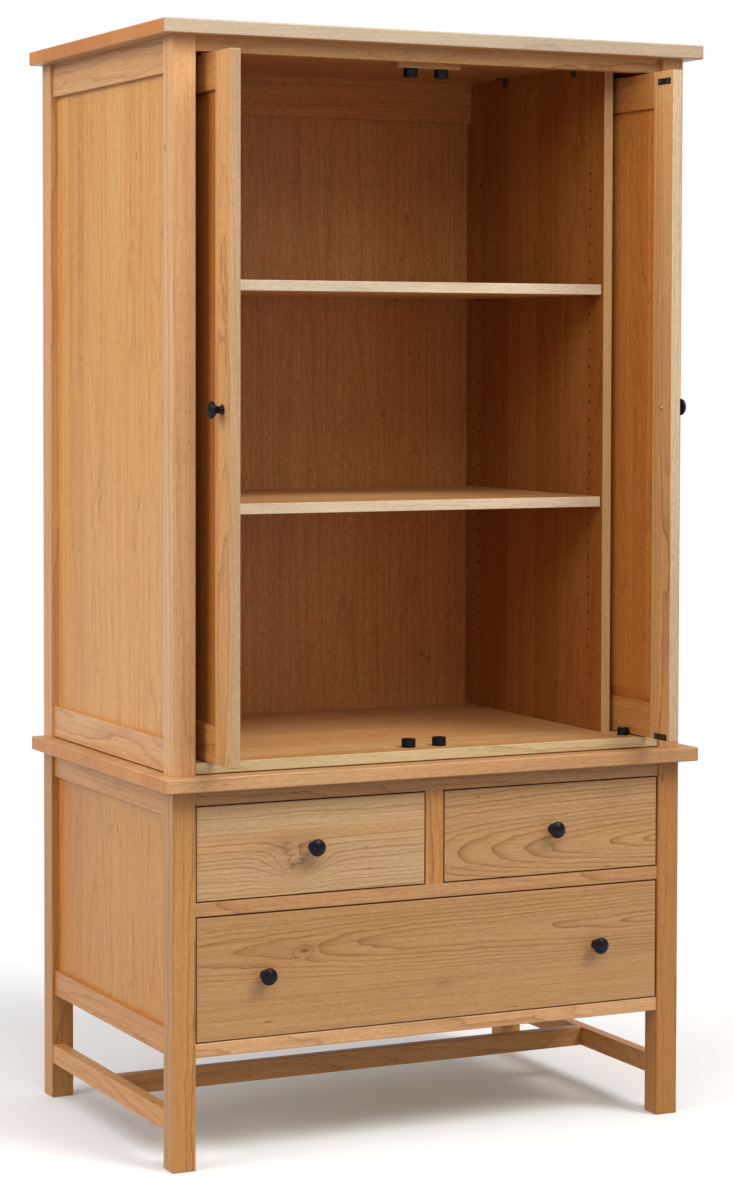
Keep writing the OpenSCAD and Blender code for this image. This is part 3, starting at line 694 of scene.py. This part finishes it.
def knob_profile(radius, height):
    """Foot, waisted neck and a mushroom head with a low dome."""
    outline = [(0.0, 0.0), (KNOB_FOOT - 0.0005, 0.0)]
    outline += round_corner(KNOB_FOOT - 0.0006, 0.0010, 0.0006, -60, 80, 4)
    for k in range(9):
        t = k / 8
        waist = (1 - math.sin(math.pi * min(1.0, 0.9 * t + 0.12) / 2)) ** 1.5
        flare = 0.0022 * t ** 3
        outline.append((KNOB_NECK + (KNOB_FOOT - 0.0014 - KNOB_NECK) * waist + flare,
                        KNOB_WAIST + t * (height * KNOB_HEAD - KNOB_WAIST)))
    rim_height = height - KNOB_RIM_DROP
    outline += round_corner(radius - KNOB_RIM, rim_height, KNOB_RIM, -RIM_END, RIM_END, 10)
    dome_radius = radius - KNOB_RIM + KNOB_RIM * math.cos(math.radians(RIM_END))
    dome_height = rim_height + KNOB_RIM * math.sin(math.radians(RIM_END))
    for k in range(1, 9):
        t = k / 8
        rise = (height - dome_height) * math.sin(math.pi / 2 * t)
        outline.append((dome_radius * (1 - t), dome_height + rise))
    return outline


def pan_screw(mesh_bm, origin, axis, radius=0.0042, height=0.0022):
    """Pan head with a round recess, standing on a face."""
    bend = height * 0.6
    profile = [(0.0, 0.0), (radius, 0.0)]
    profile += round_corner(radius - bend, height * 0.35, bend, -10, 80, 5)
    profile += [(radius * 0.36, height), (radius * 0.22, height * 0.45), (0.0, height * 0.3)]
    lathe(mesh_bm, profile, origin, axis, 24)


def make_knobs(node, axis):
    """Turned knobs in the places of the CAD node's knobs, with their screws' heads on the far side."""
    low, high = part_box(node)
    body = body_of_node(node)
    axis = Vector(axis)
    along = max(range(3), key=lambda i: abs(axis[i]))
    side = 0 if along == 1 else 1
    sign = axis[along]
    tip = high[along] if sign > 0 else low[along]
    length = high[along] - low[along] - SCREW_REACH
    radius = (high.z - low.z) / 2
    if high[side] - low[side] > 4 * radius:
        places = (low[side] + radius, high[side] - radius)
    else:
        places = ((low[side] + high[side]) / 2,)
    knobs, screws = bmesh.new(), bmesh.new()
    for place in places:
        foot = Vector((0.0, 0.0, (low.z + high.z) / 2))
        foot[side] = place
        foot[along] = tip - sign * length
        lathe(knobs, knob_profile(radius, length), foot, axis)
        pan_screw(screws, foot - axis * BOARD, -axis)
    piece = finish_piece(knobs, node + "_turned", body, BLACK, smooth=True)
    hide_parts(node)
    heads = finish_piece(screws, node + "_screws", body, STEEL, smooth=True)


def plate_screws(node):
    """Brown screws near both ends of a door's strike plates."""
    screws = bmesh.new()
    plates = welded(node)
    for plate in islands(plates):
        low, high = corners(plate)
        inward = -1.0 if low.x > 0 else 1.0
        face = low.x if inward < 0 else high.x
        for y in (low.y + PLATE_SCREW_INSET, high.y - PLATE_SCREW_INSET):
            origin = (face, y, (low.z + high.z) / 2)
            pan_screw(screws, origin, (inward, 0, 0), radius=0.0028, height=0.0010)
    plates.free()
    heads = finish_piece(screws, node + "_screws", body_of_node(node), BRONZE, smooth=True)


def paint(nodes, material):
    """Gives CAD nodes that stay as they are another material."""
    for node in nodes:
        materials = frame["nodes"][node].data.materials
        materials.clear()
        materials.append(material)


# --- The armoire -----------------------------------------------------------------------

make_camera()
make_floor()
make_surround()
make_lights()

# Solid boards
CHERRY = cherry("cherry_solid", (1.04, 1.05, 1.10), figure=0.9, ring=0.009)
POST = cherry("cherry_posts", (1.06, 1.12, 1.30), figure=0.55, ring=0.017, grit=0.13)
CHEST = cherry("cherry_chest", (0.84, 0.84, 0.92), figure=0.9, ring=0.009, fleck=1.4)
CHEST_RAIL = cherry("cherry_side_rails", (0.98, 0.87, 0.70), figure=0.9, ring=0.009, fleck=1.4)
PALE_RAIL = cherry("cherry_pale_rail", (1.04, 1.10, 1.34), figure=0.9, ring=0.009, fleck=1.4)
LEG = cherry("cherry_legs", (0.81, 0.74, 0.58), figure=0.9, ring=0.011, fleck=1.4)
DIVIDER = cherry("cherry_divider", (0.81, 0.70, 0.54), figure=0.9, ring=0.009)
# Darker cherry for the catch cleat and the centre stretcher: painted shade, for the little light that
# reaches inside the case and under the chest
PAINTED_SHADE_CHERRY = cherry("cherry_painted_shade", (0.80, 0.72, 0.64), figure=0.8)
# The doors' rails: cherry darkened and made more orange, as painted shade from the pockets the doors stand
# in
PAINTED_SHADE_DOOR_RAIL = cherry("cherry_door_rail_painted_shade", (0.84, 0.69, 0.50), figure=0.8)

# Boards of glued-up strips
STRIP, WIDE_STRIP = 0.085, 0.11  # mean widths of the strips
PANEL = {"strip": STRIP, "ring": 0.0075}
SIDE = cherry("cherry_glued", (1.06, 1.00, 0.74), figure=0.42, fleck=1.7, **PANEL)
# The chest's sides: cherry made darker and more orange, as painted shade and painted reflected light
PAINTED_SHADE_CHEST_SIDE = cherry("cherry_glued_chest_painted_shade", (0.93, 0.79, 0.45), figure=0.42, fleck=1.7, **PANEL)
# The doors' panels: cherry darkened and made more orange, as painted shade and painted reflected light from
# the pockets the doors stand in
PAINTED_SHADE_DOOR_PANEL = cherry("cherry_door_panel_painted_shade", (0.81, 0.57, 0.30), figure=0.5, grit=0.26, **PANEL)
SLAB = cherry("cherry_slab", (0.94, 1.02, 1.25), strip=STRIP, figure=0.5)
END_GRAIN = cherry("cherry_end_grain", (0.90, 0.66, 0.36), strip=STRIP, figure=0.2)
INSIDE = {"strip": WIDE_STRIP, "ring": 0.0085}
INTERIOR = cherry("cherry_interior", (0.97, 0.86, 0.70), figure=0.5, fleck=2.0, grit=0.30, **INSIDE)
# The partitions: cherry darkened and made more orange, as painted shade and painted reflected light inside
# the case
PAINTED_SHADE_PARTITION = cherry("cherry_partition_painted_shade", (0.60, 0.43, 0.24), figure=0.6, fleck=1.8, grit=0.34, **INSIDE)
FLOOR = cherry("cherry_floor", (1.03, 1.07, 1.10), strip=WIDE_STRIP, figure=0.5, fleck=1.2, grit=0.22)

# Edges that are paler than the boards behind them
PALE_FRONT = cherry("cherry_pale_front", (0.88, 1.36, 2.60), figure=0.5, fleck=0.5, grit=0.12)
PALE_FLOOR = cherry("cherry_pale_floor", (0.95, 1.43, 1.95), figure=0.5, fleck=0.5, grit=0.12)
PALE_SHELF = cherry("cherry_pale_shelf", (1.10, 1.74, 3.2), figure=0.3, fleck=0.5, grit=0.12)
PALE_PARTITION = cherry("cherry_pale_partition", (1.06, 1.30, 1.50), figure=0.3, fleck=0.5)
LEFT_EDGE = cherry("cherry_left_edge", (0.80, 0.99, 1.40), figure=0.5, fleck=0.5)
RIGHT_EDGE = cherry("cherry_right_edge", (1.00, 1.38, 2.30), figure=0.5, fleck=0.5)

# Drawer fronts: lines round a knot, arches that open to the right, and a band of long flames
LEFT_FRONT = cherry("cherry_left_front", (0.90, 1.08, 1.40), figure=1.4, ring=0.0070, grit=0.14,
                    knots=((-0.030, -0.030, 0.026, 0.046), (-0.050, 0.004, 0.024, 0.006)))
RIGHT_FRONT = cherry("cherry_right_front", (0.80, 0.84, 0.92), figure=1.5, fleck=0.8, ring=0.0068,
                     wander=0.02, wobbly=0.011, grit=0.13)
WIDE_FRONT = cherry("cherry_wide_front", (0.82, 0.88, 0.98), figure=1.5, fleck=1.6, ring=0.0066,
                    wander=0.022, wobbly=0.015, reach=0.05, grit=0.14,
                    knots=((-0.25, 0.035, 0.010, 0.012), (0.02, -0.045, 0.008, 0.008)))

# Everything that isn't cherry
DRAWER_WOOD = wood_material("drawer_maple", rgb(0.80, 0.66, 0.45), rgb(0.70, 0.54, 0.33),
                            rgb(0.60, 0.42, 0.22), rgb(0.42, 0.26, 0.12),
                            strip=0.12, figure=0.3, fleck=0.5, rough=0.45)
# Flat dark brown on the walls of the small holes in the partitions: painted shade
HOLE_SHADE = plain_material("painted_shade_in_holes", rgb(0.020, 0.009, 0.003), 0.0, 0.8)
BLACK = plain_material("black_lacquer", rgb(0.004, 0.005, 0.009), 0.0, 0.30, relief=0.03, specular=0.16)
BRONZE = plain_material("brown_steel", rgb(0.10, 0.07, 0.05), 0.5, 0.42, relief=0.08)
DARK_METAL = plain_material("black_steel", rgb(0.03, 0.03, 0.032), 0.6, 0.42, relief=0.08)
STEEL = plain_material("zinc_steel", rgb(0.62, 0.63, 0.65), 1.0, 0.32, relief=0.06)

# Frames, doors, legs and rails
eased_boards(("upper_front_rail", "upper_side_rails"), CHERRY)
eased_boards(("posts",), POST, tones=(0.1, 0.5, 0.8, 0.6))
eased_boards(("left_door_rails", "right_door_rails"), PAINTED_SHADE_DOOR_RAIL)
eased_boards(("catch_cleat",), PAINTED_SHADE_CHERRY)
eased_boards(("left_door_stiles",), CHERRY, front=LEFT_EDGE)
eased_boards(("right_door_stiles",), CHERRY, front=RIGHT_EDGE)
eased_boards(("chest_top_rail", "chest_middle_rail"), CHEST)
eased_boards(("chest_side_rails", "side_stretchers"), CHEST_RAIL)
eased_boards(("chest_bottom_rail",), PALE_RAIL)
eased_boards(("legs",), LEG, tones=(0.2, 0.6, 1.9, 0.5))
eased_boards(("drawer_divider",), DIVIDER, grain="z")
eased_boards(("centre_stretcher",), PAINTED_SHADE_CHERRY)

# Broad boards, panels and drawer fronts
eased_boards(("waist_board",), SLAB, ease=SLAB_EASE, ends=END_GRAIN)
eased_boards(("top_board",), SLAB, ease=SLAB_EASE, front=PALE_FRONT, ends=END_GRAIN)
eased_boards(("upper_side_panels",), SIDE, grain="z")
eased_boards(("chest_side_panels",), PAINTED_SHADE_CHEST_SIDE, grain="z")
eased_boards(("left_door_panel", "right_door_panel"), PAINTED_SHADE_DOOR_PANEL, grain="z")
for node, material, pith in (("left_drawer_front", LEFT_FRONT, (-0.105, 0.030, -0.03)),
                             ("right_drawer_front", RIGHT_FRONT, (-0.030, 0.038, -0.11)),
                             ("wide_drawer_front", WIDE_FRONT, (0.038, 0.031, -0.045))):
    eased_boards((node,), material, ease=FRONT_EASE, grain="x", pith=pith)

# The inside, the backs and the drawers' boxes
eased_boards(("left_partition", "right_partition"), PAINTED_SHADE_PARTITION,
             grain="z", front=PALE_PARTITION, bores=HOLE_SHADE)
eased_boards(("upper_back_panel", "chest_back_panels"), INTERIOR, grain="z")
eased_boards(("case_floor",), FLOOR, front=PALE_FLOOR)
eased_boards(("upper_shelf", "lower_shelf"), FLOOR, front=PALE_SHELF)
eased_boards(("upper_back_frame",), INTERIOR, cut=BACK_RAIL_REACH)
eased_boards(("chest_back_frame",), CHEST, cut=BACK_RAIL_REACH)
for node in ("left_drawer_box", "right_drawer_box", "wide_drawer_box"):
    low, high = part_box(node)
    reach = (high.x - low.x) / 2 - DRAWER_SIDE
    eased_boards((node,), DRAWER_WOOD, ease=DRAWER_EASE, cut=reach)
eased_boards(("drawer_runners", "drawer_guides", "left_door_carriage", "right_door_carriage",
              "left_drawer_bottom", "right_drawer_bottom", "wide_drawer_bottom"),
             DRAWER_WOOD, ease=DRAWER_EASE)

# Knobs, screws and hardware
make_knobs("left_door_knob", (-1, 0, 0))
make_knobs("right_door_knob", (1, 0, 0))
for node in ("left_drawer_knob", "right_drawer_knob", "wide_drawer_knobs"):
    make_knobs(node, (0, -1, 0))
plate_screws("left_door_strikes")
plate_screws("right_door_strikes")
paint(("door_catches", "left_guide_roller", "right_guide_roller"), BLACK)
paint(("shelf_pins", "left_door_strikes", "right_door_strikes"), DARK_METAL)
paint(("partition_clips",), BRONZE)
paint(("roller_pins", "door_tracks", "left_door_hinges", "right_door_hinges"), STEEL)

scene.view_settings.view_transform = "Standard"

low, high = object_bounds()
